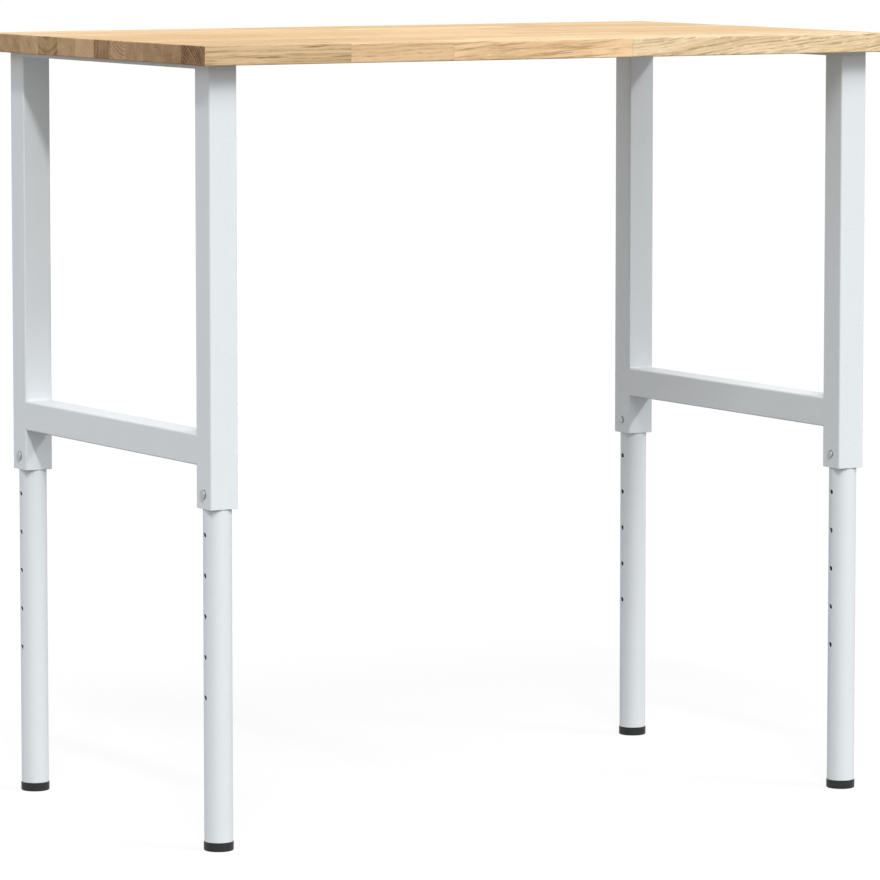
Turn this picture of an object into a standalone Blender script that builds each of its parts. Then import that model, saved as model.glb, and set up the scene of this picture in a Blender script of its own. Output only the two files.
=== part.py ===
"""Height-adjustable workbench: an oak top on two welded side frames with telescoping legs.

Metres, +Z up. The origin is on the floor under the middle of the top. X runs along the
bench from the left frame to the right one, and Y from the front to the rear.
"""

import math

import bmesh
import bpy
import numpy as np
from mathutils import Matrix, Vector

# Worktop
TOP_LENGTH = 1.000
TOP_DEPTH = 0.610
TOP_THICKNESS = 0.024
TOP_EDGE_ROUNDING = 0.0012
WORK_HEIGHT = 0.984
END_OVERHANG = 0.022
FRONT_OVERHANG = 0.0305

# Square tube of the side frames
TUBE_SIDE = 0.038
TUBE_WALL = 0.0010
TUBE_CORNER = 0.0022
UPPER_TUBE_LENGTH = 0.5334
CROSSBAR_ABOVE_TUBE_END = 0.052

# Flat bar under the wood
BAR_THICKNESS = 0.005
BAR_EDGE_CHAMFER = 0.0004

# Round lower legs
LEG_WALL = 0.0012
LEG_INSERTION = 0.180
LOCK_ABOVE_TUBE_END = 0.018
HOLE_PITCH = 0.050
HOLE_COUNT = 6
HOLE_DIAMETER = 0.0066

# Foot caps
FOOT_RIM = 0.0007
FOOT_HEIGHT = 0.011
FOOT_EDGE_ROUNDING = 0.0018
FOOT_PLUG_LENGTH = 0.018
FOOT_PLUG_TAPER = 0.0008

# Lock bolts and their nuts
BOLT_HEAD_DIAMETER = 0.0118
BOLT_HEAD_HEIGHT = 0.0030
NUT_HEAD_DIAMETER = 0.0096
NUT_HEAD_HEIGHT = 0.0030
HEAD_RIM = 0.0007

# Wood screws
SCREWS_PER_BAR = 4
SCREW_FROM_TUBE = 0.032
SCREW_DIAMETER = 0.0042
SCREW_HEAD_DIAMETER = 0.0086
SCREW_HEAD_HEIGHT = 0.0022
SCREW_HEAD_RIM = 0.0003
SCREW_DRIVE_WIDTH = 0.0040
SCREW_DRIVE_DEPTH = 0.0015
SCREW_TIP_LENGTH = 0.005
WOOD_OVER_SCREW = 0.006

# Clearances
GAP = 0.0003
CUT_PAST = 0.002

# Numbers of sides and steps of round shapes
LEG_SIDES = 48
BOLT_SIDES = 24
HOLE_SIDES = 16
CORNER_STEPS = 3
DOME_STEPS = 4
SMOOTH_ANGLE = math.radians(35)

# Places that follow from the sizes
TOP_UNDERSIDE = WORK_HEIGHT - TOP_THICKNESS
BAR_UPPER_FACE = TOP_UNDERSIDE - GAP
BAR_LOWER_FACE = BAR_UPPER_FACE - BAR_THICKNESS
TUBE_TOP = BAR_LOWER_FACE - GAP
TUBE_END = TUBE_TOP - UPPER_TUBE_LENGTH
LOCK_HEIGHT = TUBE_END + LOCK_ABOVE_TUBE_END
LEG_X = TOP_LENGTH / 2 - END_OVERHANG - TUBE_SIDE / 2
LEG_Y = TOP_DEPTH / 2 - FRONT_OVERHANG - TUBE_SIDE / 2
LEG_RADIUS = TUBE_SIDE / 2 - TUBE_WALL - GAP
LEG_BOTTOM = FOOT_HEIGHT + GAP
LEG_TOP = TUBE_END + LEG_INSERTION
BOLT_RADIUS = HOLE_DIAMETER / 2 - GAP

SIDES = {"left": -1, "right": 1}
ENDS = {"front": -1, "rear": 1}


def clear_scene():
    for old in list(bpy.data.objects):
        bpy.data.objects.remove(old, do_unlink=True)


def make_material(name, color, roughness, metallic=0.0):
    material = bpy.data.materials.new(name)
    material.use_nodes = True
    shader = material.node_tree.nodes["Principled BSDF"]
    shader.inputs["Base Color"].default_value = (*color, 1.0)
    shader.inputs["Roughness"].default_value = roughness
    shader.inputs["Metallic"].default_value = metallic
    return material


def mesh_from(name, bm):
    """Turns a bmesh into a mesh with outward faces, smooth where it is round."""
    bmesh.ops.recalc_face_normals(bm, faces=bm.faces)
    mesh = bpy.data.meshes.new(name)
    bm.to_mesh(mesh)
    bm.free()
    mesh.shade_smooth()
    mesh.set_sharp_from_angle(angle=SMOOTH_ANGLE)
    return mesh


def place(name, mesh, material, location=(0, 0, 0), rotation=(0, 0, 0), parent=None):
    """Adds an object; its location counts from its parent, if it has one."""
    mesh.materials.clear()
    mesh.materials.append(material)
    piece = bpy.data.objects.new(name, mesh)
    bpy.context.collection.objects.link(piece)
    piece.location = location
    piece.rotation_euler = rotation
    piece.parent = parent
    return piece


def add_empty(name, location):
    empty = bpy.data.objects.new(name, None)
    bpy.context.collection.objects.link(empty)
    empty.location = location
    return empty


def cut(piece, name, mesh, location=(0, 0, 0), rotation=(0, 0, 0)):
    """Subtracts a cutter, whose place counts from the piece's own origin."""
    cutter = bpy.data.objects.new(name, mesh)
    bpy.context.collection.objects.link(cutter)
    cutter.parent = piece
    cutter.location = location
    cutter.rotation_euler = rotation
    cutter.display_type = "WIRE"
    cutter.hide_render = True
    boolean = piece.modifiers.new(name, "BOOLEAN")
    boolean.object = cutter
    boolean.operation = "DIFFERENCE"
    boolean.solver = "EXACT"


def box_bmesh(size):
    bm = bmesh.new()
    bmesh.ops.create_cube(bm, size=1.0, matrix=Matrix.Diagonal((*size, 1.0)))
    return bm


def arc(centre, radius, start, end, steps):
    """Points on an arc, from the start angle to the end angle."""
    points = []
    for step in range(steps + 1):
        angle = start + (end - start) * step / steps
        x = centre[0] + radius * math.cos(angle)
        y = centre[1] + radius * math.sin(angle)
        points.append((x, y))
    return points


def turned_mesh(name, profile, sides, places=((0, 0, 0),)):
    """Turns a profile of (radius, height) about an upright axis at each place.

    A profile that starts and ends on the axis gives a solid body, and one that stays
    clear of the axis gives a ring.
    """
    bm = bmesh.new()
    solid = profile[0][0] == 0
    for offset in map(Vector, places):
        points = [bm.verts.new(Vector((r, 0, z)) + offset) for r, z in profile]
        loop = points if solid else points + points[:1]
        edges = [bm.edges.new(pair) for pair in zip(loop, loop[1:])]
        bmesh.ops.spin(
            bm,
            geom=points + edges,
            cent=offset,
            axis=(0, 0, 1),
            angle=2 * math.pi,
            steps=sides,
            use_merge=True,
        )
    bmesh.ops.remove_doubles(bm, verts=bm.verts, dist=1e-6)
    return mesh_from(name, bm)


def rod_mesh(name, radius, length, sides, places=((0, 0, 0),)):
    """Upright cylinders that are centred on their places."""
    half = length / 2
    profile = [(0, -half), (radius, -half), (radius, half), (0, half)]
    return turned_mesh(name, profile, sides, places)


def rounded_square(side, corner):
    """Outline points of a square with round corners, anticlockwise."""
    points = []
    reach = side / 2 - corner
    for across, up, start in ((1, 1, 0), (-1, 1, 1), (-1, -1, 2), (1, -1, 3)):
        centre = (across * reach, up * reach)
        turn = start * math.pi / 2
        points += arc(centre, corner, turn, turn + math.pi / 2, CORNER_STEPS)
    return points


def square_tube_mesh(name, length):
    """A square tube along Z, centred on the origin, open at both ends."""
    bm = bmesh.new()
    rings = []
    outlines = (
        rounded_square(TUBE_SIDE, TUBE_CORNER),
        rounded_square(TUBE_SIDE - 2 * TUBE_WALL, TUBE_CORNER - TUBE_WALL),
    )
    for outline, z in zip((*outlines, *outlines[::-1]), (-1, -1, 1, 1)):
        rings.append([bm.verts.new((*point, z * length / 2)) for point in outline])
    for ring, following in zip(rings, rings[1:] + rings[:1]):
        for i in range(len(ring)):
            bm.faces.new((ring[i - 1], ring[i], following[i], following[i - 1]))
    return mesh_from(name, bm)


def dome(radius, height, rim):
    """Profile of a low dome over a short straight rim, from the rim to the axis."""
    rise = height - rim
    ball = (radius**2 + rise**2) / (2 * rise)
    slope = math.asin(radius / ball)
    return arc((0, height - ball), ball, math.pi / 2 - slope, math.pi / 2, DOME_STEPS)


def screw_rows():
    """Y of each screw of a bar, evenly spaced between the two upper tubes."""
    reach = LEG_Y - TUBE_SIDE / 2 - SCREW_FROM_TUBE
    return np.linspace(-reach, reach, SCREWS_PER_BAR).tolist()


def pilot_holes_mesh(length):
    """Rods in a row along Y, as wide as a wood screw with its clearance."""
    places = [(0, y, 0) for y in screw_rows()]
    return rod_mesh("pilot_holes", SCREW_DIAMETER / 2 + GAP, length, HOLE_SIDES, places)


def countersunk_holes_mesh():
    """Holes in a row along Y, with the bar's lower face and their wide mouths at height 0."""
    hole = SCREW_DIAMETER / 2 + GAP
    mouth = SCREW_HEAD_DIAMETER / 2 + GAP
    top = BAR_THICKNESS + CUT_PAST
    profile = [
        (0, -CUT_PAST),
        (mouth, -CUT_PAST),
        (mouth, SCREW_HEAD_RIM),
        (hole, SCREW_HEAD_HEIGHT),
        (hole, top),
        (0, top),
    ]
    places = [(0, y, 0) for y in screw_rows()]
    return turned_mesh("countersunk_holes", profile, HOLE_SIDES, places)


def build_worktop(wood):
    """The top, with blind pilot holes for the screws on its underside."""
    mesh = mesh_from("worktop", box_bmesh((TOP_LENGTH, TOP_DEPTH, TOP_THICKNESS)))
    centre = (0, 0, WORK_HEIGHT - TOP_THICKNESS / 2)
    top = place("tabletop", mesh, wood, centre)
    bevel = top.modifiers.new("eased_edges", "BEVEL")
    bevel.width = TOP_EDGE_ROUNDING
    bevel.segments = 2
    hole_depth = TOP_THICKNESS - WOOD_OVER_SCREW
    for side, sign in SIDES.items():
        holes = pilot_holes_mesh(2 * hole_depth)
        cut(top, f"{side}_pilot_holes", holes, (sign * LEG_X, 0, -TOP_THICKNESS / 2))


def build_bar(side, x, steel):
    """The flat bar that is welded on the two upper tubes and carries the top."""
    size = (TUBE_SIDE, 2 * LEG_Y + TUBE_SIDE, BAR_THICKNESS)
    centre = (x, 0, BAR_UPPER_FACE - BAR_THICKNESS / 2)
    bar = place(f"{side}_top_bar", mesh_from("top_bar", box_bmesh(size)), steel, centre)
    bevel = bar.modifiers.new("broken_edges", "BEVEL")
    bevel.width = BAR_EDGE_CHAMFER
    bevel.segments = 1
    lower_face = (0, 0, -BAR_THICKNESS / 2)
    cut(bar, f"{side}_screw_holes", countersunk_holes_mesh(), lower_face)


def screw_mesh():
    """A countersunk wood screw, tip up, with the flat face of its head at height 0."""
    length = BAR_THICKNESS + TOP_THICKNESS - WOOD_OVER_SCREW - 2 * GAP
    radius = SCREW_DIAMETER / 2
    profile = [
        (0, length),
        (radius, length - SCREW_TIP_LENGTH),
        (radius, SCREW_HEAD_HEIGHT),
        (SCREW_HEAD_DIAMETER / 2, SCREW_HEAD_RIM),
        (SCREW_HEAD_DIAMETER / 2, 0),
        (0, 0),
    ]
    return turned_mesh("wood_screw", profile, HOLE_SIDES)


def build_screws(side, x, mesh, zinc):
    """Screws from under the bar into the wood, numbered from the front."""
    for number, y in enumerate(screw_rows(), start=1):
        name = f"{side}_top_screw_{number}"
        screw = place(name, mesh, zinc, (x, y, BAR_LOWER_FACE))
        square_drive = rod_mesh("square_drive", SCREW_DRIVE_WIDTH / 2, 2 * SCREW_DRIVE_DEPTH, 4)
        cut(screw, f"{name}_drive", square_drive)


def build_crossbar(side, x, steel):
    """The tube that joins the front and the rear upper tube above their lower ends."""
    length = 2 * LEG_Y - TUBE_SIDE - 2 * GAP
    height = TUBE_END + CROSSBAR_ABOVE_TUBE_END + TUBE_SIDE / 2
    mesh = square_tube_mesh("crossbar_tube", length)
    place(f"{side}_crossbar", mesh, steel, (x, 0, height), (math.pi / 2, 0, 0))


def build_upper_tube(name, x, y, mesh, steel):
    """A square tube with a hole for the lock bolt through both side walls."""
    middle = (TUBE_TOP + TUBE_END) / 2
    tube = place(f"{name}_upper_tube", mesh, steel, (x, y, middle))
    hole = rod_mesh("lock_hole", HOLE_DIAMETER / 2, TUBE_SIDE + CUT_PAST, HOLE_SIDES)
    cut(tube, f"{name}_lock_hole", hole, (0, 0, LOCK_HEIGHT - middle), (0, math.pi / 2, 0))


def leg_mesh():
    """The round tube, counted from the floor on its own axis."""
    inner = LEG_RADIUS - LEG_WALL
    profile = [
        (LEG_RADIUS, LEG_BOTTOM),
        (LEG_RADIUS, LEG_TOP),
        (inner, LEG_TOP),
        (inner, LEG_BOTTOM),
    ]
    return turned_mesh("lower_leg", profile, LEG_SIDES)


def leg_holes_mesh():
    """A row of cross rods, from the locked hole downwards, one pitch apart."""
    places = [(step * HOLE_PITCH, 0, 0) for step in range(HOLE_COUNT)]
    return rod_mesh("leg_holes", HOLE_DIAMETER / 2, TUBE_SIDE, HOLE_SIDES, places)


def foot_mesh():
    """A cap under the tube, with a tapered plug inside it."""
    rim = LEG_RADIUS + FOOT_RIM
    plug = LEG_RADIUS - LEG_WALL - GAP
    rounding = FOOT_EDGE_ROUNDING
    plug_top = FOOT_HEIGHT + FOOT_PLUG_LENGTH
    profile = [
        (0, 0),
        *arc((rim - rounding, rounding), rounding, -math.pi / 2, 0, CORNER_STEPS),
        (rim, FOOT_HEIGHT),
        (plug, FOOT_HEIGHT),
        (plug - FOOT_PLUG_TAPER, plug_top),
        (0, plug_top),
    ]
    return turned_mesh("foot", profile, LEG_SIDES)


def head_mesh(name, diameter, height):
    """A domed head on a stub that fills the tube's wall, head up, seat at height 0."""
    radius = diameter / 2
    profile = [
        (0, -TUBE_WALL - GAP),
        (BOLT_RADIUS, -TUBE_WALL - GAP),
        (BOLT_RADIUS, 0),
        (radius, 0),
        *dome(radius, height, HEAD_RIM),
    ]
    return turned_mesh(name, profile, BOLT_SIDES)


def build_head(name, x, y, outwards, mesh, zinc):
    """A bolt or nut on the face of the upper tube that looks along outwards."""
    seat = x + outwards * (TUBE_SIDE / 2 + GAP)
    turn = (0, outwards * math.pi / 2, 0)
    place(name, mesh, zinc, (seat, y, LOCK_HEIGHT), turn)


def build_leg(name, x, y, meshes, steel, plastic):
    """A lower leg and its foot, both on the empty that slides up the upper tube."""
    slide = add_empty(f"{name}_leg_slide", (x, y, 0))
    leg = place(f"{name}_lower_leg", meshes["leg"], steel, parent=slide)
    cut(leg, f"{name}_leg_holes", meshes["leg_holes"], (0, 0, LOCK_HEIGHT), (0, math.pi / 2, 0))
    place(f"{name}_foot", meshes["foot"], plastic, parent=slide)


def build_frame(side, sign, meshes, materials):
    """One side frame; sign is -1 on the left, where outwards is towards -X."""
    steel, zinc = materials["steel"], materials["zinc"]
    x = sign * LEG_X
    build_bar(side, x, steel)
    build_screws(side, x, meshes["screw"], zinc)
    build_crossbar(side, x, steel)
    for end, end_sign in ENDS.items():
        name = f"{side}_{end}"
        y = end_sign * LEG_Y
        build_upper_tube(name, x, y, meshes["upper_tube"], steel)
        build_leg(name, x, y, meshes, steel, materials["plastic"])
        build_head(f"{name}_lock_bolt", x, y, sign, meshes["bolt"], zinc)
        build_head(f"{name}_lock_nut", x, y, -sign, meshes["nut"], zinc)


def main():
    clear_scene()
    materials = {
        "wood": make_material("oiled_oak", (0.70, 0.49, 0.28), 0.55),
        "steel": make_material("light_grey_powder_coat", (0.72, 0.75, 0.76), 0.45),
        "plastic": make_material("charcoal_plastic", (0.035, 0.036, 0.038), 0.6),
        "zinc": make_material("zinc_plated_steel", (0.62, 0.63, 0.64), 0.35, 1.0),
    }
    meshes = {
        "upper_tube": square_tube_mesh("upper_tube", UPPER_TUBE_LENGTH),
        "leg": leg_mesh(),
        "leg_holes": leg_holes_mesh(),
        "foot": foot_mesh(),
        "screw": screw_mesh(),
        "bolt": head_mesh("lock_bolt", BOLT_HEAD_DIAMETER, BOLT_HEAD_HEIGHT),
        "nut": head_mesh("lock_nut", NUT_HEAD_DIAMETER, NUT_HEAD_HEIGHT),
    }
    build_worktop(materials["wood"])
    for side, sign in SIDES.items():
        build_frame(side, sign, meshes, materials)


main()
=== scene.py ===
"""Looks of the height-adjustable oak workbench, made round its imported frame.

Metres, +Z up. X runs along the bench from the left side frame to the right one, and Y from
the front to the rear. Every place comes from the boxes of the frame's nodes.
"""

import math
import random

import bmesh
import bpy
from mathutils import Matrix, Vector


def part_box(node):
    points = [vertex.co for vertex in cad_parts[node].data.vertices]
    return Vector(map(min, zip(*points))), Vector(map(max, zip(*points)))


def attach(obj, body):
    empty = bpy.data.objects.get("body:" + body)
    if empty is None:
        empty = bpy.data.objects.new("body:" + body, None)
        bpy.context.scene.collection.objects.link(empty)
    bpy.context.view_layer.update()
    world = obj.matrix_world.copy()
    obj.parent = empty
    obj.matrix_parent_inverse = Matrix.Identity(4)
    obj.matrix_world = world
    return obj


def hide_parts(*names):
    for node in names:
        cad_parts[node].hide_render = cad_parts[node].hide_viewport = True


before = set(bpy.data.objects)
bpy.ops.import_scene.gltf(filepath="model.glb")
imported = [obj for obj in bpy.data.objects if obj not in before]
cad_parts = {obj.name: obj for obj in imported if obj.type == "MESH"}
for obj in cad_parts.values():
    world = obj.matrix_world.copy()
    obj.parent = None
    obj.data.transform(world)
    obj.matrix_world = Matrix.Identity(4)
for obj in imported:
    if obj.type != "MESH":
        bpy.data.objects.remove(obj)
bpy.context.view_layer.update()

QUARTER_TURN = math.pi / 2

# Camera: where it stands, as seen from the point it looks at
CAMERA_AZIMUTH = math.radians(-30.14)
CAMERA_ELEVATION = math.radians(6.01)
CAMERA_DISTANCE = 7.15
CAMERA_AIM = (-0.008, -0.018, 0.459)
CAMERA_LENS = 226.2
CAMERA_SENSOR = 36.0
CAMERA_CLIP_START = 0.1

# Strip lights, very far off and parallel to the sides of the bench: lean to the left, height
# of the near end and of the far end in degrees, count of suns, and the light on a sheet that
# faces the strip
LEFT_STRIP = (22.6, 40.5, 64.5, 5, 1.51)
RIGHT_STRIP = (-40.3, 38.5, 58.5, 4, 1.08)
SKY_LEVEL = 0.77
BACKGROUND_WHITE = 1.0

# Floor
FLOOR_REACH = 160.0
FLOOR_COLOR = 0.20
FLOOR_GLOW = 0.86
FLOOR_SHADOW_SHARE = 0.12
CAMERA_CLIP_END = 3 * FLOOR_REACH

# Oak staves, from the front row to the rear one
STAVE_WIDTHS = (0.061, 0.053, 0.048, 0.046, 0.042, 0.045, 0.052, 0.050, 0.055, 0.053, 0.062, 0.043)
FRONT_ROW_JOINTS = (-0.299, -0.155, 0.104)
STAVE_LENGTHS = (0.20, 0.44)
LEAST_STAVE = 0.14
LEAST_STAGGER = 0.05
TOP_EDGE_ROUNDING = 0.0015
JOINT_CHAMFER = 0.00012
EDGE_STEPS = 3
FLUSH_DISTANCE = 1e-6
STAVE_SEED = 11

# How far the grain of one stave lies from the next one's, the least X of the normal of a
# face that shows end grain, and the names of what each stave tells the oak
STAVE_SHIFT = 3.0
END_GRAIN_NORMAL = 0.5
STAVE_NUMBERS = ("figure", "swirl", "streak", "ray", "ring_gap", "end_tone", "end_figure")

# Looks that a stave has where none is given: strength of its figure, of its streaks and of
# its rays, and swirl of the grain
PLAIN_FIGURE = 0.75
PLAIN_STREAK = 0.25
PLAIN_RAY = 0.15
PLAIN_SWIRL = 0.007

# Choices and ranges that each stave's own values are drawn from
PITH_DISTANCES = (0.03, 0.05, 0.08, 0.14, 0.25)
PITH_SPREAD = (0.8, 1.2)
RING_GAPS = (0.0018, 0.0042)
END_TONES = (0.05, 0.75)
END_FIGURES = (0.15, 0.6)
FIGURE_SPREAD = (0.6, 1.4)
STREAK_SPREAD = (0.0, 2.4)
CLIMBS = (-0.04, 0.04)

# Tint: its level and spread, and how red, green and blue follow a paler and a warmer stave
TINT_LEVEL = 1.02
TINT_SPREAD = 0.10
TINT_SHARES = ((0.55, 0.1), (1.0, -0.15), (1.6, -0.5))

# Looks of the staves in the front row, from left to right: tint, strength of the figure,
# swirl of the grain, strength of streaks and of rays, and how much the grain climbs along
# the stave
FRONT_ROW = (
    ((0.935, 0.96, 1.03), 1.00, 0.009, 1.05, 0.20, 0.008),
    ((1.03, 1.03, 1.10), 0.55, 0.006, 0.20, 0.20, 0.035),
    ((1.23, 1.24, 1.36), 0.95, 0.011, 0.80, 0.40, 0.080),
    ((1.15, 1.28, 1.50), 0.85, 0.022, 0.80, 0.48, 0.110),
)

# Left end of each row: turn of the rings, distance of the pith, ring gap, tone of the end,
# strength of its rings, and of its rays in every row but the front one
LEFT_ENDS = (
    (-48, 0.110, 0.0044, 0.64, -0.60, 0.30),
    (80, 0.300, 0.0016, 0.50, 0.20, 0.10),
    (100, 0.260, 0.0018, 0.46, 0.15, 0.10),
    (60, 0.050, 0.0026, 0.38, 0.15, 0.20),
    (115, 0.045, 0.0050, 0.32, 0.55, 0.25),
    (5, 0.300, 0.0090, 0.62, 0.30, 0.10),
    (140, 0.060, 0.0060, 0.06, 0.30, 0.25),
    (110, 0.280, 0.0020, 0.25, 0.20, 0.10),
    (85, 0.030, 0.0085, 0.50, 0.42, 0.15),
    (-40, 0.120, 0.0110, 0.15, 0.20, 0.25),
    (-50, 0.090, 0.0030, 0.40, 0.50, 0.80),
    (70, 0.120, 0.0040, 0.95, 0.30, 0.10),
)

# Noise in the oak: lumps per metre along, across and up the grain, detail and roughness.
# That of the rays goes along the grain, round the pith and away from it.
BEND_NOISE = ((5.0, 9.0, 9.0), 2.0, 0.5)
WAVER_NOISE = ((9.0, 70.0, 70.0), 2.0, 0.5)
LANE_NOISE = ((2.4, 46.0, 46.0), 3.0, 0.6)
FIBRE_NOISE = ((15.0, 420.0, 420.0), 3.0, 0.65)
STREAK_NOISE = ((13.0, 300.0, 300.0), 2.0, 0.6)
PORE_NOISE = ((60.0, 1500.0, 1500.0), 1.0, 0.5)
RAY_NOISE = ((80.0, 1000.0, 100.0), 1.0, 0.5)

# How far the rings waver, where in a ring its dark early wood sets in and dies away, the
# least strength of a ring, the width of a radian in the noise of the rays, and the levels of
# noise between which streaks, and pores or rays, set in
RING_WAVER = 0.0040
EARLY_RISE = (0.0, 0.10)
EARLY_FALL = (0.15, 0.75)
RING_LEAST = 0.1
RAY_TURN = 0.09
STREAK_RANGE = (0.50, 0.70)
LINE_RANGE = (0.56, 0.70)

# How much lanes, early wood and fibre darken the long faces, what is taken off to level
# them, how dark plain wood is, the darkness of the pale and of the dark colour, and how
# strong the pores are
LANE_DARK = 2.0
EARLY_DARK = 0.60
FIBRE_DARK = 0.90
LANE_LEVEL = 1.0
FIGURE_LEVEL = 0.55
PLAIN_DARK = 0.16
DARK_RANGE = (-0.40, 1.10)
PORE_STRENGTH = 0.45

# The same for the ends, where the early wood has a level of its own
END_LANE_DARK = 0.80
END_FIBRE_DARK = 0.60
END_LEVEL = 0.70
EARLY_LEVEL = 0.30

# Colours of the oak's long faces and of its ends
OAK_PALE = (0.815, 0.565, 0.310)
OAK_DARK = (0.450, 0.285, 0.120)
OAK_STREAK = (0.345, 0.220, 0.096)
OAK_RAY = (0.840, 0.640, 0.390)
OAK_PORE = (0.240, 0.140, 0.060)
END_PALE = (0.640, 0.425, 0.235)
END_DARK = (0.125, 0.042, 0.010)
END_RAY = (0.580, 0.385, 0.220)

# Colours of paint, zinc and plastic, each from one cloud to the next
PAINT_CLOUDS = ((0.738, 0.780, 0.805), (0.772, 0.808, 0.831))
PAINT_GRAINS = (0.86, 0.88, 0.89)
ZINC_CLOUDS = ((0.38, 0.39, 0.39), (0.50, 0.51, 0.51))
# Painted shade: a dark colour laid on the lower wall of each bolt head and nut, standing for the
# shade and dark reflection there
ZINC_PAINTED_SHADE = (0.10, 0.103, 0.103)
PLASTIC_CLOUDS = ((0.013, 0.014, 0.014), (0.023, 0.024, 0.024))

# Square tube, bar and round leg
TUBE_CORNER = 0.0022
TUBE_WALL = 0.0010
END_EASING = 0.00035
CORNER_STEPS = 6
BAR_EASING = 0.0002
LEG_WALL = 0.0012
LEG_SIDES = 96
HOLE_PITCH = 0.050
HOLE_COUNT = 6
HOLE_RADIUS = 0.0033
HOLE_SIDES = 24

# Fillet welds: leg, length and depth of a ripple, gap between sections, how much of the leg
# stands at an end and how fast it grows from there, and the section, in legs
WELD_LEG = 0.0016
WELD_RIPPLE = 0.0022
WELD_RIPPLE_DEPTH = 0.14
WELD_STEP = 0.00055
WELD_END_SHARE = 0.25
WELD_END_GROWTH = 6.0
WELD_SECTION = (
    (-0.3, -0.3),
    (1.0, -0.3),
    (1.0, 0.0),
    (0.62, 0.36),
    (0.36, 0.62),
    (0.0, 1.0),
    (-0.3, 1.0),
)

# Flush welds beside the crossbar: how far they reach onto it, and how far they stand out at
# the joint and midway to the tube's flat side
SIDE_WELD_LAP = 0.0006
SIDE_WELD_AT_JOINT = 0.00012
SIDE_WELD_CROWN = 0.00015

# Bolts, nuts and feet
HEAD_SIDES = 64
BOLT_ROUNDING = 0.0016
NUT_ROUNDING = 0.0022
HEAD_CROWN = 0.0006
HEAD_STEPS = 8
# Heights above the seat of a head: below the first the painted shade on its wall is full, above the
# second it is gone
PAINTED_SHADE_HEIGHTS = (0.0008, 0.0012)
FOOT_EDGE = 0.0018
FOOT_LIP = 0.0004
FOOT_PLUG = 0.012
PLUG_CLEARANCE = 0.0002
FOOT_SIDES = 96

SIDES = {"left": -1, "right": 1}
ENDS = {"front": -1, "rear": 1}
SMOOTH_ANGLE = math.radians(35)
SHARP_ANGLE = math.radians(60)
MERGE_DISTANCE = 1e-7


def grey(level):
    return (level, level, level, 1.0)


class Surface:
    """A new material around a Principled BSDF, with short ways to add nodes to it."""

    def __init__(self, name, **fixed):
        self.material = bpy.data.materials.new(name)
        self.material.use_nodes = True
        self.tree = self.material.node_tree
        self.shader = self.tree.nodes["Principled BSDF"]
        for socket, value in fixed.items():
            self.shader.inputs[socket.replace("_", " ")].default_value = value

    def feed(self, socket, value):
        """Sets a socket to a value, or joins it to another node's output."""
        if isinstance(value, bpy.types.NodeSocket):
            self.tree.links.new(value, socket)
        elif value is not None:
            socket.default_value = value

    def node(self, kind, values=(), **settings):
        made = self.tree.nodes.new("ShaderNode" + kind)
        for name, setting in settings.items():
            setattr(made, name, setting)
        for socket, value in zip(made.inputs, values):
            self.feed(socket, value)
        return made

    def math(self, operation, *values):
        return self.node("Math", values, operation=operation).outputs[0]

    def scaled(self, value, by, plus):
        return self.math("MULTIPLY_ADD", value, by, plus)

    def attribute(self, name, output="Fac"):
        return self.node("Attribute", attribute_name=name).outputs[output]

    def stretched(self, vector, *factors):
        """The vector with each of its three parts multiplied."""
        return self.node("VectorMath", (vector, factors), operation="MULTIPLY").outputs[0]

    def noise(self, vector, scale, detail, roughness=0.5):
        made = self.node("TexNoise")
        self.feed(made.inputs["Vector"], vector)
        made.inputs["Scale"].default_value = scale
        made.inputs["Detail"].default_value = detail
        made.inputs["Roughness"].default_value = roughness
        return made.outputs["Fac"]

    def long_noise(self, vector, factors, detail, roughness=0.5):
        """Noise with a scale of its own for each part of the vector."""
        return self.noise(self.stretched(vector, *factors), 1.0, detail, roughness)

    def steps(self, value, low, high, to_low=0.0, to_high=1.0):
        """Goes smoothly from one level to the other while the value passes low and high."""
        made = self.node("MapRange", interpolation_type="SMOOTHSTEP")
        for socket, number in zip(made.inputs, (value, low, high, to_low, to_high)):
            self.feed(socket, number)
        return made.outputs[0]

    def mixed(self, share, first, second, blend_type="MIX"):
        """Two colours mixed; share is how much of the second one comes in."""
        made = self.node("Mix", data_type="RGBA", blend_type=blend_type)
        for name, value in (("Factor_Float", share), ("A_Color", first), ("B_Color", second)):
            socket = next(s for s in made.inputs if s.identifier == name)
            self.feed(socket, (*value, 1.0) if isinstance(value, tuple) else value)
        return next(s for s in made.outputs if s.identifier == "Result_Color")

    def bump(self, height, distance, strength=1.0, under=None):
        made = self.node("Bump")
        made.inputs["Distance"].default_value = distance
        made.inputs["Strength"].default_value = strength
        self.feed(made.inputs["Height"], height)
        self.feed(made.inputs["Normal"], under)
        return made.outputs["Normal"]

    def finish(self, color, roughness, normal):
        self.feed(self.shader.inputs["Base Color"], color)
        self.feed(self.shader.inputs["Roughness"], roughness)
        self.feed(self.shader.inputs["Normal"], normal)
        return self.material


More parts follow.
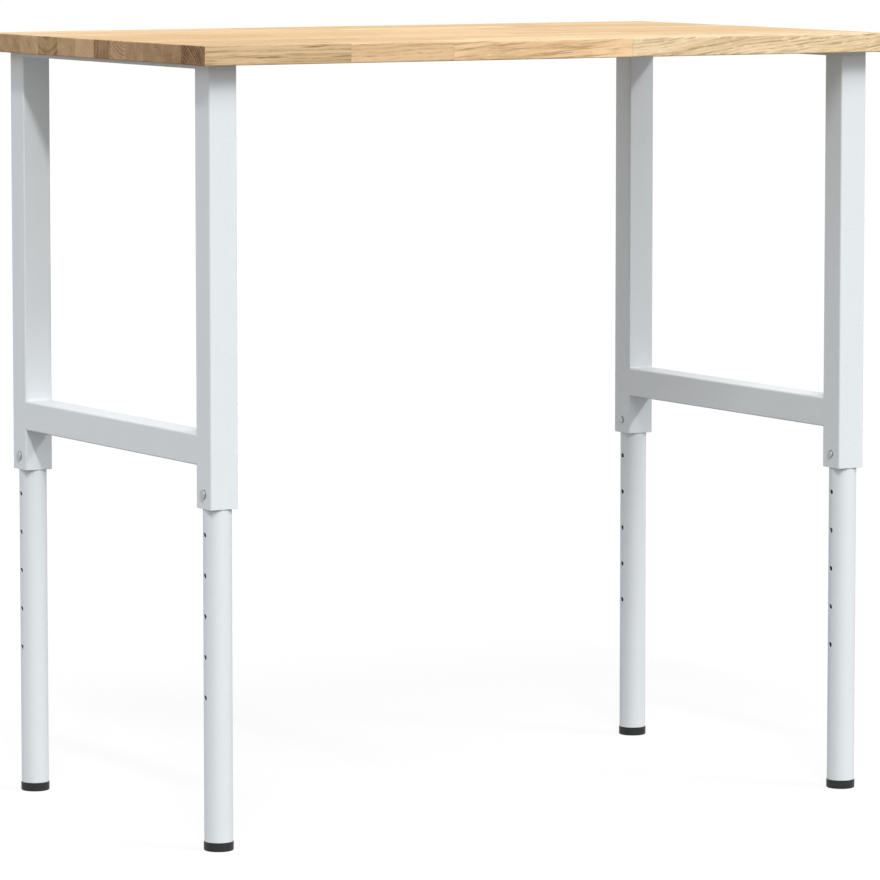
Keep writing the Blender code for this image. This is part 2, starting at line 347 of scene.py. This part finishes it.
def oak_material():
    """Oiled oak as a solid that every face cuts: rings, streaks, pores, rays and fibre."""
    oak = Surface("oiled_oak", Specular_IOR_Level=0.12)
    straight = oak.attribute("grain", "Vector")

    # Grain that wanders from straight by as much as the stave's own swirl
    bend = oak.long_noise(straight, *BEND_NOISE)
    bend = oak.math("MULTIPLY", oak.math("SUBTRACT", bend, 0.5), oak.attribute("swirl"))
    sideways = oak.node("CombineXYZ", (0.0, bend, bend)).outputs[0]
    grain = oak.node("VectorMath", (straight, sideways), operation="ADD").outputs[0]
    along, across, up = oak.node("SeparateXYZ", (grain,)).outputs

    # Distance from the pith in rings, each ring with a strength of its own
    waver = oak.long_noise(grain, *WAVER_NOISE)
    squares = oak.math("ADD", oak.math("MULTIPLY", across, across), oak.math("MULTIPLY", up, up))
    radius = oak.scaled(waver, by=RING_WAVER, plus=oak.math("SQRT", squares))
    rings = oak.math("DIVIDE", radius, oak.attribute("ring_gap"))
    phase = oak.math("FRACT", rings)
    ring_chance = oak.node("TexWhiteNoise", noise_dimensions="1D")
    oak.feed(ring_chance.inputs["W"], oak.math("FLOOR", rings))
    rise = oak.steps(phase, *EARLY_RISE)
    fall = oak.steps(phase, *EARLY_FALL, to_low=1.0, to_high=0.0)
    strength = oak.scaled(ring_chance.outputs["Value"], by=1.0 - RING_LEAST, plus=RING_LEAST)
    early = oak.math("MULTIPLY", oak.math("MULTIPLY", rise, fall), strength)

    # Fibre, from broad lanes to fine lines, with dark streaks and open pores
    lanes = oak.long_noise(grain, *LANE_NOISE)
    fibre = oak.long_noise(grain, *FIBRE_NOISE)
    streaks = oak.steps(oak.long_noise(grain, *STREAK_NOISE), *STREAK_RANGE)
    streaks = oak.math("MULTIPLY", streaks, oak.attribute("streak"))
    pores = oak.steps(oak.long_noise(grain, *PORE_NOISE), *LINE_RANGE)
    crowd = oak.steps(early, low=0.02, high=0.4, to_low=0.2, to_high=1.0)
    pores = oak.math("MULTIPLY", pores, crowd)

    # Rays: thin sheets that stand on the pith, seen as flecks on faces and lines on ends
    turn = oak.math("MULTIPLY", oak.math("ARCTAN2", across, up), RAY_TURN)
    sheet = oak.node("CombineXYZ", (along, turn, radius)).outputs[0]
    rays = oak.steps(oak.long_noise(sheet, *RAY_NOISE), *LINE_RANGE)
    rays = oak.math("MULTIPLY", rays, oak.attribute("ray"))

    # Long faces
    figure = oak.scaled(lanes, by=LANE_DARK, plus=-LANE_LEVEL)
    figure = oak.scaled(early, by=EARLY_DARK, plus=figure)
    figure = oak.math("SUBTRACT", figure, FIGURE_LEVEL)
    figure = oak.scaled(fibre, by=FIBRE_DARK, plus=figure)
    dark = oak.scaled(figure, by=oak.attribute("figure"), plus=PLAIN_DARK)
    wood = oak.mixed(oak.steps(dark, *DARK_RANGE), OAK_PALE, OAK_DARK)
    wood = oak.mixed(streaks, wood, OAK_STREAK)
    wood = oak.mixed(rays, wood, OAK_RAY)
    wood = oak.mixed(oak.math("MULTIPLY", pores, PORE_STRENGTH), wood, OAK_PORE)
    wood = oak.mixed(1.0, wood, oak.attribute("tint", "Color"), "MULTIPLY")

    # Ends drink more oil: browner, and with a tone of their own
    blur = oak.scaled(fibre, by=END_FIBRE_DARK, plus=-END_LEVEL)
    blur = oak.scaled(lanes, by=END_LANE_DARK, plus=blur)
    early = oak.math("SUBTRACT", early, EARLY_LEVEL)
    dark = oak.scaled(early, by=oak.attribute("end_figure"), plus=blur)
    dark = oak.math("ADD", dark, oak.attribute("end_tone"))
    ends = oak.mixed(oak.node("Clamp", (dark,)).outputs[0], END_PALE, END_DARK)
    ends = oak.mixed(rays, ends, END_RAY)
    color = oak.mixed(oak.attribute("end_grain"), wood, ends)

    roughness = oak.scaled(pores, by=0.20, plus=oak.scaled(fibre, by=0.14, plus=0.46))
    relief = oak.math("SUBTRACT", oak.math("MULTIPLY", fibre, 0.35), pores)
    return oak.finish(color, roughness, oak.bump(relief, distance=0.00012))


def paint_material():
    """Light grey powder coat with a fine orange peel and small settled grains."""
    paint = Surface("light_grey_powder_coat", Specular_IOR_Level=0.5)
    place = paint.node("TexCoord").outputs["Object"]
    peel = paint.noise(place, scale=420.0, detail=2.0)
    grains = paint.noise(place, scale=1900.0, detail=1.0)
    clouds = paint.noise(place, scale=26.0, detail=3.0)
    settled = paint.steps(grains, low=0.62, high=0.74)
    color = paint.mixed(clouds, *PAINT_CLOUDS)
    color = paint.mixed(paint.math("MULTIPLY", settled, 0.35), color, PAINT_GRAINS)
    roughness = paint.scaled(peel, by=0.16, plus=0.36)
    peel_relief = paint.bump(peel, distance=0.00022)
    relief = paint.bump(grains, distance=0.00003, strength=0.6, under=peel_relief)
    return paint.finish(color, roughness, relief)


def zinc_material():
    """Zinc plate with fine scratches and cloudy passivation, and painted shade darkening the lower
    wall of a head.
    """
    zinc = Surface("zinc_plate", Metallic=1.0)
    place = zinc.node("TexCoord").outputs["Object"]
    clouds = zinc.noise(place, scale=240.0, detail=3.0)
    scratches = zinc.long_noise(place, (400.0, 3200.0, 3200.0), detail=2.0)
    color = zinc.mixed(clouds, *ZINC_CLOUDS)
    # Painted shade: the lower wall of a head is darkened in its colour, for the shade and dark
    # reflection there
    color = zinc.mixed(zinc.attribute("painted_shade_wall"), color, ZINC_PAINTED_SHADE)
    roughness = zinc.scaled(clouds, by=0.08, plus=0.42)
    return zinc.finish(color, roughness, zinc.bump(scratches, distance=0.00002))


def plastic_material():
    """Charcoal moulded plastic with a spark-eroded grain."""
    plastic = Surface("charcoal_plastic", Specular_IOR_Level=0.3)
    place = plastic.node("TexCoord").outputs["Object"]
    grain = plastic.noise(place, scale=1300.0, detail=2.0)
    scuffs = plastic.long_noise(place, (60.0, 60.0, 300.0), detail=3.0)
    color = plastic.mixed(scuffs, *PLASTIC_CLOUDS)
    roughness = plastic.scaled(scuffs, by=0.2, plus=0.42)
    return plastic.finish(color, roughness, plastic.bump(grain, distance=0.00008))


def floor_material():
    """Pale floor, clear from below: seen directly or in a mirror it glows, with a light shadow."""
    floor = Surface(
        "studio_floor", Base_Color=grey(FLOOR_COLOR), Roughness=0.9, Specular_IOR_Level=0.0,
    )
    path = floor.node("LightPath").outputs
    seen = floor.math("MAXIMUM", path["Is Camera Ray"], path["Is Glossy Ray"])
    seen = floor.math("MAXIMUM", seen, path["Is Transmission Ray"])
    matt = floor.node("BsdfDiffuse", (grey(FLOOR_SHADOW_SHARE),)).outputs[0]
    glow = floor.node("Emission", (grey(1.0), FLOOR_GLOW)).outputs[0]
    white = floor.node("AddShader", (matt, glow)).outputs[0]
    upper = floor.node("MixShader", (seen, floor.shader.outputs[0], white)).outputs[0]
    below = floor.node("NewGeometry").outputs["Backfacing"]
    clear = floor.node("BsdfTransparent").outputs[0]
    both = floor.node("MixShader", (below, upper, clear)).outputs[0]
    floor.feed(floor.tree.nodes["Material Output"].inputs["Surface"], both)
    return floor.material


def new_mesh(name, bm):
    """A mesh made of the bmesh, which is freed."""
    mesh = bpy.data.meshes.new(name)
    bm.to_mesh(mesh)
    bm.free()
    return mesh


def new_object(name, data):
    made = bpy.data.objects.new(name, data)
    bpy.context.collection.objects.link(made)
    return made


def add_floor():
    bm = bmesh.new()
    bmesh.ops.create_grid(bm, x_segments=1, y_segments=1, size=FLOOR_REACH)
    mesh = new_mesh("studio_floor", bm)
    mesh.materials.append(floor_material())
    new_object("studio_floor", mesh)


def add_strip(name, lean, near, far, count, strength):
    """A strip light along Y, made as a row of suns whose discs touch."""
    lean = math.radians(lean)
    step = math.radians(far - near) / count
    for i in range(count):
        rise = math.radians(near) + (i + 0.5) * step
        height = math.sin(rise)
        towards = Vector((-math.sin(lean) * height, -math.cos(rise), math.cos(lean) * height))
        lamp = bpy.data.lights.new(f"{name}_{i + 1}", "SUN")
        lamp.angle = step
        lamp.energy = strength / count
        holder = new_object(lamp.name, lamp)
        holder.rotation_euler = towards.to_track_quat("Z", "Y").to_euler()


def light_studio():
    """Two strip lights and an even sky, which is white where it is seen directly or mirrored."""
    add_strip("left_strip", *LEFT_STRIP)
    add_strip("right_strip", *RIGHT_STRIP)
    world = bpy.data.worlds.new("studio")
    bpy.context.scene.world = world
    world.use_nodes = True
    tree = world.node_tree
    path = tree.nodes.new("ShaderNodeLightPath")
    seen = path.outputs["Is Camera Ray"]
    for kind in ("Is Glossy Ray", "Is Transmission Ray"):
        either = tree.nodes.new("ShaderNodeMath")
        either.operation = "MAXIMUM"
        tree.links.new(seen, either.inputs[0])
        tree.links.new(path.outputs[kind], either.inputs[1])
        seen = either.outputs[0]
    level = tree.nodes.new("ShaderNodeMapRange")
    level.inputs["To Min"].default_value = SKY_LEVEL
    level.inputs["To Max"].default_value = BACKGROUND_WHITE
    tree.links.new(seen, level.inputs["Value"])
    background = tree.nodes["Background"]
    background.inputs["Color"].default_value = grey(1.0)
    tree.links.new(level.outputs[0], background.inputs["Strength"])


def add_camera():
    around, up = CAMERA_AZIMUTH, CAMERA_ELEVATION
    level = math.cos(up)
    back = Vector((math.sin(around) * level, -math.cos(around) * level, math.sin(up)))
    data = bpy.data.cameras.new("camera")
    data.lens = CAMERA_LENS
    data.sensor_width = CAMERA_SENSOR
    data.clip_start = CAMERA_CLIP_START
    data.clip_end = CAMERA_CLIP_END
    camera = new_object("camera", data)
    camera.location = Vector(CAMERA_AIM) + CAMERA_DISTANCE * back
    camera.rotation_euler = back.to_track_quat("Z", "Y").to_euler()
    bpy.context.scene.camera = camera


def add_piece(name, bm, material, body, slot, *nodes):
    """Makes a piece of the bmesh, rides it on a body and lets it stand for the nodes.

    Weighted normals keep broad faces flat in shade right up to their rounded edges.
    """
    bmesh.ops.recalc_face_normals(bm, faces=bm.faces)
    mesh = new_mesh(name, bm)
    mesh.materials.append(material)
    mesh.shade_smooth()
    mesh.set_sharp_from_angle(angle=SMOOTH_ANGLE)
    piece = new_object(name, mesh)
    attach(piece, body)
    if nodes:
        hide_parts(*nodes)
    flats = piece.modifiers.new("flats", "WEIGHTED_NORMAL")
    flats.mode = "FACE_AREA"
    flats.keep_sharp = True


def arc(centre, radius, start, end, steps):
    """Points on an arc, from the start angle to the end angle."""
    points = []
    for step in range(steps + 1):
        angle = start + (end - start) * step / steps
        points.append((centre[0] + radius * math.cos(angle), centre[1] + radius * math.sin(angle)))
    return points


def rounded_outline(width, depth, corner):
    """Outline of a rectangle with round corners, anticlockwise."""
    points = []
    for across, up, quarter in ((1, 1, 0), (-1, 1, 1), (-1, -1, 2), (1, -1, 3)):
        centre = (across * (width / 2 - corner), up * (depth / 2 - corner))
        turn = quarter * QUARTER_TURN
        points += arc(centre, corner, turn, turn + QUARTER_TURN, CORNER_STEPS)
    return points


def join_rings(bm, rings, closed=True):
    """Fills quads between neighbouring rings of vertices, and from the last to the first."""
    following = rings[1:] + (rings[:1] if closed else [])
    for ring, after in zip(rings, following):
        for i in range(len(ring)):
            bm.faces.new((ring[i - 1], ring[i], after[i], after[i - 1]))


def join_capped(bm, rings):
    """Joins the rings to a closed solid, with a face on the first ring and on the last."""
    join_rings(bm, rings, closed=False)
    bm.faces.new(rings[0])
    bm.faces.new(rings[-1])


def square_tube(side, low, high):
    """A bmesh of an upright square tube, with its cut ends eased."""
    bm = bmesh.new()
    ease = END_EASING
    inner = TUBE_WALL - ease
    bottom = low + ease
    top = high - ease
    wall = []
    corners = ((2, ease, bottom), (3, inner, bottom), (0, inner, top), (1, ease, top))
    for quarter, across, z in corners:
        start = quarter * QUARTER_TURN
        end = (quarter + 1) * QUARTER_TURN
        wall += arc((across, z), ease, start, end, EDGE_STEPS)
    rings = []
    for inset, z in wall:
        outline = rounded_outline(side - 2 * inset, side - 2 * inset, TUBE_CORNER - inset)
        rings.append([bm.verts.new((x, y, z)) for x, y in outline])
    join_rings(bm, rings)
    return bm


def turned(profile, sides):
    """A bmesh turned from a profile of (radius, height), closed on the axis or as a ring."""
    bm = bmesh.new()
    solid = profile[0][0] == 0
    around = [2 * math.pi * i / sides for i in range(sides)]
    rings = [
        [bm.verts.new((r * math.cos(a), r * math.sin(a), z)) for a in around]
        for r, z in profile
    ]
    join_rings(bm, rings, closed=not solid)
    if solid:
        bmesh.ops.remove_doubles(bm, verts=rings[0] + rings[-1], dist=MERGE_DISTANCE)
    return bm


def carved(bm, cutter):
    """The first bmesh less the second one."""
    made = []
    for name, source in (("blank", bm), ("cutter", cutter)):
        bmesh.ops.recalc_face_normals(source, faces=source.faces)
        made.append(new_object(name, new_mesh(name, source)))
    blank, tool = made
    boolean = blank.modifiers.new("cut", "BOOLEAN")
    boolean.object = tool
    boolean.operation = "DIFFERENCE"
    boolean.solver = "EXACT"
    bpy.context.view_layer.update()
    result = bmesh.new()
    result.from_object(blank, bpy.context.evaluated_depsgraph_get())
    for scrap in made:
        bpy.data.objects.remove(scrap, do_unlink=True)
    return result


def middle(node):
    low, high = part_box(node)
    return (low + high) / 2


def stand_at(bm, node):
    """Moves the bmesh from the Z axis to the middle of the node, and keeps its heights."""
    centre = middle(node)
    bmesh.ops.translate(bm, vec=(centre.x, centre.y, 0), verts=bm.verts)


def on_rim(edge, panel):
    """Whether the edge lies on two outer faces of the panel."""
    flush = 0
    for axis in range(3):
        for corner in panel:
            flush += all(abs(vert.co[axis] - corner[axis]) < FLUSH_DISTANCE for vert in edge.verts)
    return flush >= 2


def stave_block(low, high):
    """A block whose edges on the panel's rim are rounded, and whose other edges are chamfered."""
    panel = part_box("tabletop")
    bm = bmesh.new()
    size = Vector(high) - Vector(low)
    centre = (Vector(high) + Vector(low)) / 2
    place = Matrix.Translation(centre) @ Matrix.Diagonal((*size, 1.0))
    bmesh.ops.create_cube(bm, size=1.0, matrix=place)
    rim = [edge for edge in bm.edges if on_rim(edge, panel)]
    if rim:
        bmesh.ops.bevel(
            bm, geom=rim, offset=TOP_EDGE_ROUNDING, segments=EDGE_STEPS, profile=0.5,
            affect="EDGES",
        )
    joints = [edge for edge in bm.edges if edge.calc_face_angle() > SHARP_ANGLE]
    bmesh.ops.bevel(bm, geom=joints, offset=JOINT_CHAMFER, segments=1, affect="EDGES")
    return bm


def stave_ends(row, chance, before):
    """X of the joints along a row, clear of the joints of the row before."""
    low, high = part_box("tabletop")
    if row == 0:
        return [low.x, *FRONT_ROW_JOINTS, high.x]
    while True:
        ends = [low.x]
        while high.x - ends[-1] > STAVE_LENGTHS[1]:
            ends.append(ends[-1] + chance.uniform(*STAVE_LENGTHS))
        ends.append(high.x)
        clear = all(abs(a - b) > LEAST_STAGGER for a in ends[1:-1] for b in before[1:-1])
        if clear and ends[-1] - ends[-2] > LEAST_STAVE:
            return ends


def stave_look(row, place, chance, number):
    """Pith, tint, grain and ends of one stave; place counts the row's staves from the left."""
    turn = math.radians(chance.uniform(0, 360))
    distance = chance.choice(PITH_DISTANCES) * chance.uniform(*PITH_SPREAD)
    gap = chance.uniform(*RING_GAPS)
    end_tone = chance.uniform(*END_TONES)
    end_figure = chance.uniform(*END_FIGURES)

    # One draw is passed over, which keeps the later ones as they are
    chance.random()
    paler, warmer = chance.gauss(0.0, TINT_SPREAD), chance.gauss(0.0, TINT_SPREAD)
    tint = [TINT_LEVEL + a * paler + b * warmer for a, b in TINT_SHARES]
    figure = PLAIN_FIGURE * chance.uniform(*FIGURE_SPREAD)
    streak = PLAIN_STREAK * chance.uniform(*STREAK_SPREAD)
    climb = chance.uniform(*CLIMBS)
    swirl, ray = PLAIN_SWIRL, PLAIN_RAY
    if place == 0:
        degrees, distance, gap, end_tone, end_figure, ray = LEFT_ENDS[row]
        turn = math.radians(degrees)
    if row == 0:
        tint, figure, swirl, streak, ray, climb = FRONT_ROW[place]
    return {
        "pith": (distance * math.cos(turn), distance * math.sin(turn)),
        "climb": climb,
        "shift": STAVE_SHIFT * number,
        "tint": tint,
        "figure": figure,
        "swirl": swirl,
        "streak": streak,
        "ray": ray,
        "ring_gap": gap,
        "end_tone": end_tone,
        "end_figure": end_figure,
    }


def add_stave(bm, layers, low, high, look):
    """Adds one stave to the panel, with the grain that its pith gives it."""
    stave = stave_block(low, high)
    centre = (Vector(low) + Vector(high)) / 2
    made = [bm.verts.new(vert.co) for vert in stave.verts]
    stave.verts.index_update()
    for vert in made:
        place = vert.co - centre
        along = place.x + look["shift"]
        across = place.y - look["pith"][0]
        up = place.z - look["climb"] * place.x - look["pith"][1]
        vert[layers["grain"]] = Vector((along, across, up))
        vert[layers["tint"]] = Vector(look["tint"])
        for name in STAVE_NUMBERS:
            vert[layers[name]] = look[name]
    for face in stave.faces:
        copy = bm.faces.new([made[vert.index] for vert in face.verts])
        copy[layers["end_grain"]] = float(abs(face.normal.x) > END_GRAIN_NORMAL)
    stave.free()


def add_top(oak):
    """The panel of glued staves, in rows from the front to the rear."""
    low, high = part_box("tabletop")
    chance = random.Random(STAVE_SEED)
    bm = bmesh.new()
    layers = {name: bm.verts.layers.float_vector.new(name) for name in ("grain", "tint")}
    for name in STAVE_NUMBERS:
        layers[name] = bm.verts.layers.float.new(name)
    layers["end_grain"] = bm.faces.layers.float.new("end_grain")
    scale = (high.y - low.y) / sum(STAVE_WIDTHS)
    front, ends, number = low.y, [], 0
    for row, width in enumerate(STAVE_WIDTHS):
        rear = high.y if row == len(STAVE_WIDTHS) - 1 else front + width * scale
        ends = stave_ends(row, chance, ends)
        for place, (left, right) in enumerate(zip(ends, ends[1:])):
            look = stave_look(row, place, chance, number)
            add_stave(bm, layers, (left, front, low.z), (right, rear, high.z), look)
            number += 1
        front = rear
    add_piece("oak_top", bm, oak, "root", "oak_top", "tabletop")


def add_bar(side, paint):
    """The flat bar on top of the two tubes, with the outline of their outer corners."""
    node = f"{side}_top_bar"
    low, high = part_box(node)
    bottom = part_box(f"{side}_front_upper_tube")[1].z
    bm = bmesh.new()
    ease = BAR_EASING
    rings = []
    for inset, z in ((ease, bottom), (0, bottom + ease), (0, high.z - ease), (ease, high.z)):
        width = high.x - low.x - 2 * inset
        depth = high.y - low.y - 2 * inset
        outline = rounded_outline(width, depth, TUBE_CORNER - inset)
        rings.append([bm.verts.new((x, y, z)) for x, y in outline])
    join_capped(bm, rings)
    stand_at(bm, node)
    add_piece(f"{side}_mounting_bar", bm, paint, "root", "powder_coat", node)


def add_rail(side, paint):
    """The crossbar, which reaches the faces of the upper tubes."""
    node = f"{side}_crossbar"
    low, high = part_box(node)
    front_tube, rear_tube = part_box(f"{side}_front_upper_tube"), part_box(f"{side}_rear_upper_tube")
    bm = square_tube(high.z - low.z, front_tube[1].y, rear_tube[0].y)
    centre = middle(node)
    place = Matrix.Translation((centre.x, 0, centre.z))
    turn = Matrix.Rotation(-QUARTER_TURN, 4, "X")
    bmesh.ops.transform(bm, matrix=place @ turn, verts=bm.verts)
    add_piece(f"{side}_rail", bm, paint, "root", "powder_coat", node)


def add_upper_tube(name, paint):
    node = f"{name}_upper_tube"
    low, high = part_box(node)
    bm = square_tube(high.x - low.x, low.z, high.z)
    stand_at(bm, node)
    add_piece(f"{name}_sleeve", bm, paint, "root", "powder_coat", node)


def add_weld(name, start, run, away, up, paint):
    """A small rippled fillet from start along run, in the corner between away and up."""
    bm = bmesh.new()
    start, run, away, up = map(Vector, (start, run, away, up))
    count = round(run.length / WELD_STEP)
    rings = []
    for i in range(count + 1):
        along = i / count
        wave = abs(math.sin(math.pi * along * run.length / WELD_RIPPLE))
        ripple = 1.0 - WELD_RIPPLE_DEPTH + WELD_RIPPLE_DEPTH * wave
        taper = min(1.0, WELD_END_GROWTH * min(along, 1.0 - along) + WELD_END_SHARE)
        leg = WELD_LEG * ripple * taper
        here = start + along * run
        rings.append([bm.verts.new(here + leg * (a * away + b * up)) for a, b in WELD_SECTION])
    join_capped(bm, rings)
    add_piece(name, bm, paint, "root", "powder_coat")


def add_side_weld(name, x, outwards, y, towards, low, high, paint):
    """Fills the notch that a tube's round corner leaves beside the crossbar."""
    bm = bmesh.new()
    section = [
        (0.0, -SIDE_WELD_LAP),
        (SIDE_WELD_AT_JOINT, 0.0),
        (SIDE_WELD_CROWN, TUBE_CORNER / 2),
        (0.0, TUBE_CORNER),
    ]
    corner = (-TUBE_CORNER, TUBE_CORNER)
    section += arc(corner, TUBE_CORNER, 0.0, -QUARTER_TURN, CORNER_STEPS)[1:]
    rings = []
    for z in (low, high):
        rings.append([bm.verts.new((x + outwards * a, y + towards * b, z)) for a, b in section])
    join_capped(bm, rings)
    add_piece(name, bm, paint, "root", "powder_coat")


def add_rail_welds(side, paint):
    """Fillets above and below each end of the crossbar, and flush welds beside it."""
    low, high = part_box(f"{side}_crossbar")
    inset = TUBE_CORNER
    bottom, top = low.z + inset, high.z - inset
    for end, sign in ENDS.items():
        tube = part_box(f"{side}_{end}_upper_tube")
        y = tube[1].y if sign < 0 else tube[0].y
        run = (high.x - low.x - 2 * inset, 0, 0)
        away = (0, -sign, 0)
        name = f"{side}_{end}_rail_weld"
        add_weld(f"{name}_above", (low.x + inset, y, high.z), run, away, (0, 0, 1), paint)
        add_weld(f"{name}_below", (low.x + inset, y, low.z), run, away, (0, 0, -1), paint)
        for label, x, outwards in (("left", low.x, -1), ("right", high.x, 1)):
            add_side_weld(f"{name}_{label}", x, outwards, y, sign, bottom, top, paint)


def foot_height(name):
    """Height of the cap's upper rim, on which the leg stands."""
    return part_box(f"{name}_lower_leg")[0].z


def add_leg(name, paint):
    """The round lower tube, drilled through along X from the lock hole downwards."""
    node = f"{name}_lower_leg"
    low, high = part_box(node)
    foot_top = foot_height(name)
    radius = (high.x - low.x) / 2
    inner = radius - LEG_WALL
    ease = END_EASING
    profile = arc((radius - ease, high.z - ease), ease, 0, QUARTER_TURN, EDGE_STEPS)
    profile += [(inner, high.z), (inner, foot_top), (radius, foot_top)]
    holes = bmesh.new()
    lock = middle(f"{name}_lock_bolt").z

    # Half a side of turn keeps the drill's corners off the edges of the tube's facets
    half_side = Matrix.Rotation(math.pi / HOLE_SIDES, 4, "Z")
    along_x = Matrix.Rotation(QUARTER_TURN, 4, "Y") @ half_side
    for step in range(HOLE_COUNT):
        at = Matrix.Translation((0, 0, lock - step * HOLE_PITCH)) @ along_x
        bmesh.ops.create_cone(
            holes, cap_ends=True, segments=HOLE_SIDES, radius1=HOLE_RADIUS, radius2=HOLE_RADIUS,
            depth=3 * radius, matrix=at,
        )
    bm = carved(turned(profile, LEG_SIDES), holes)
    stand_at(bm, node)
    add_piece(f"{name}_leg_tube", bm, paint, f"{name}_leg", "powder_coat", node)


def add_foot(name, plastic):
    """The foot cap: a cup with a rounded sole, a fine lip at the top and a plug in the tube."""
    node = f"{name}_foot"
    low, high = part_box(node)
    top = foot_height(name)
    radius = (high.x - low.x) / 2
    leg_low, leg_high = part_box(f"{name}_lower_leg")
    plug = (leg_high.x - leg_low.x) / 2 - LEG_WALL - PLUG_CLEARANCE
    sole = (radius - FOOT_EDGE, FOOT_EDGE)
    lip = (radius - FOOT_LIP, top - FOOT_LIP)
    profile = [(0, 0.0)]
    profile += arc(sole, FOOT_EDGE, -QUARTER_TURN, 0, 2 * EDGE_STEPS)
    profile += arc(lip, FOOT_LIP, 0, QUARTER_TURN, EDGE_STEPS)
    profile += [(plug, top), (plug, top + FOOT_PLUG), (0, top + FOOT_PLUG)]
    bm = turned(profile, FOOT_SIDES)
    stand_at(bm, node)
    add_piece(f"{name}_foot_cap", bm, plastic, f"{name}_leg", "foot_plastic", node)


def add_head(name, node, outwards, rounding, zinc):
    """A round head with a rounded rim and a slight crown, along X from the tube's face."""
    low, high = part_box(node)
    radius = (high.z - low.z) / 2
    tube_low, tube_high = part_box(node.rsplit("_lock", 1)[0] + "_upper_tube")
    seat = tube_high.x if outwards > 0 else tube_low.x
    height = abs((high.x if outwards > 0 else low.x) - seat)
    flat = radius - rounding
    rim = arc((flat, height - HEAD_CROWN - rounding), rounding, 0, QUARTER_TURN, HEAD_STEPS)
    shares = [step / HEAD_STEPS for step in range(HEAD_STEPS, -1, -1)]
    crown = [(flat * share, height - HEAD_CROWN * share**2) for share in shares[1:]]
    bm = turned([(0, 0.0), (radius, 0.0), *rim, *crown], HEAD_SIDES)
    # Painted shade: how much of the darkened zinc colour each vertex on the head's lower wall takes
    painted_shade = bm.verts.layers.float.new("painted_shade_wall")
    for vert in bm.verts:
        share = (PAINTED_SHADE_HEIGHTS[1] - vert.co.z) / (PAINTED_SHADE_HEIGHTS[1] - PAINTED_SHADE_HEIGHTS[0])
        vert[painted_shade] = min(1.0, max(0.0, share))
    centre = middle(node)
    place = Matrix.Translation((seat, centre.y, centre.z))
    turn = Matrix.Rotation(outwards * QUARTER_TURN, 4, "Y")
    bmesh.ops.transform(bm, matrix=place @ turn, verts=bm.verts)
    add_piece(name, bm, zinc, "root", "zinc", node)


def dress_screws(zinc):
    """The wood screws keep their solids and get the zinc."""
    for name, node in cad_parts.items():
        if "_top_screw_" in name:
            node.data.materials.clear()
            node.data.materials.append(zinc)


def build_bench():
    paint, zinc, plastic = paint_material(), zinc_material(), plastic_material()
    add_top(oak_material())
    for side, sign in SIDES.items():
        add_bar(side, paint)
        add_rail(side, paint)
        add_rail_welds(side, paint)
        for end in ENDS:
            name = f"{side}_{end}"
            add_upper_tube(name, paint)
            add_leg(name, paint)
            add_foot(name, plastic)
            add_head(f"{name}_bolt_head", f"{name}_lock_bolt", sign, BOLT_ROUNDING, zinc)
            add_head(f"{name}_nut_head", f"{name}_lock_nut", -sign, NUT_ROUNDING, zinc)
    dress_screws(zinc)


bpy.context.scene.view_settings.view_transform = "Standard"
add_camera()
light_studio()
add_floor()
build_bench()
